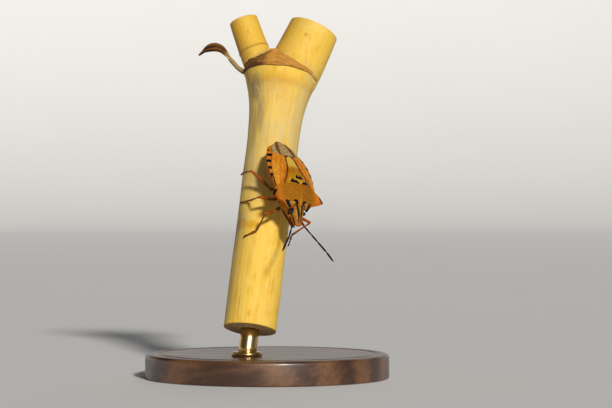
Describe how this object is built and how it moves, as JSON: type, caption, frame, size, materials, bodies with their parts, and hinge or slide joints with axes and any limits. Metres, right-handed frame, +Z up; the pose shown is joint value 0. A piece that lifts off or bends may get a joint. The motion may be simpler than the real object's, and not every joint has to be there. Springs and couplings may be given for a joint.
{
  "type": "shield bug display model",
  "caption": "Life-size still model of a shield bug walking head down on a cut dry stem with its fork, held by a short rod on a round base.",
  "frame": {"origin": "centre of the stand's round underside, on the surface it stands on", "axes": "+Z up; -Y towards the front, the side the picture is taken from; +X to the right of that view"},
  "size_m": [0.032, 0.032, 0.0481],
  "materials": {
    "orange_cuticle": "orange insect cuticle, finely pitted, satin",
    "ochre_cuticle": "yellow-ochre insect cuticle with black marks, satin",
    "dark_cuticle": "dark red-brown to black insect cuticle, satin",
    "eye": "dark purple-brown compound eye, glossy",
    "wing_membrane": "smoky brown wing membrane with dark veins",
    "dry_stem": "dry straw-yellow stem with fine lengthwise fibres, satin",
    "dry_scale": "dry brown papery scale and bract, matte",
    "brass": "satin brass rod",
    "walnut": "walnut, satin"
  },
  "bodies": {
    "root": {"head": "ochre_cuticle", "eye_left": "eye", "eye_right": "eye", "pronotum": "orange_cuticle", "scutellum": "ochre_cuticle", "corium_left": "orange_cuticle", "membrane_left": "wing_membrane", "connexivum_left": "orange_cuticle", "corium_right": "orange_cuticle", "membrane_right": "wing_membrane", "connexivum_right": "orange_cuticle", "thorax": "ochre_cuticle", "abdomen": "ochre_cuticle", "rostrum": "dark_cuticle", "coxa_fore_left": "ochre_cuticle", "femur_fore_left": "orange_cuticle", "tibia_fore_left": "dark_cuticle", "tarsus_fore_left": "dark_cuticle", "coxa_fore_right": "ochre_cuticle", "femur_fore_right": "orange_cuticle", "tibia_fore_right": "dark_cuticle", "tarsus_fore_right": "dark_cuticle", "coxa_mid_left": "ochre_cuticle", "femur_mid_left": "orange_cuticle", "tibia_mid_left": "dark_cuticle", "tarsus_mid_left": "dark_cuticle", "coxa_mid_right": "ochre_cuticle", "femur_mid_right": "orange_cuticle", "tibia_mid_right": "dark_cuticle", "tarsus_mid_right": "dark_cuticle", "coxa_hind_left": "ochre_cuticle", "femur_hind_left": "orange_cuticle", "tibia_hind_left": "dark_cuticle", "tarsus_hind_left": "dark_cuticle", "coxa_hind_right": "ochre_cuticle", "femur_hind_right": "orange_cuticle", "tibia_hind_right": "dark_cuticle", "tarsus_hind_right": "dark_cuticle", "antenna_left_1": "orange_cuticle", "antenna_left_2": "dark_cuticle", "antenna_left_3": "dark_cuticle", "antenna_left_4": "dark_cuticle", "antenna_left_5": "dark_cuticle", "antenna_right_1": "orange_cuticle", "antenna_right_2": "dark_cuticle", "antenna_right_3": "dark_cuticle", "antenna_right_4": "dark_cuticle", "antenna_right_5": "dark_cuticle", "perch_stem": "dry_stem", "perch_scale": "dry_scale", "perch_bract": "dry_scale", "stand_rod": "brass", "stand_base": "walnut"}
  },
  "joints": []
}
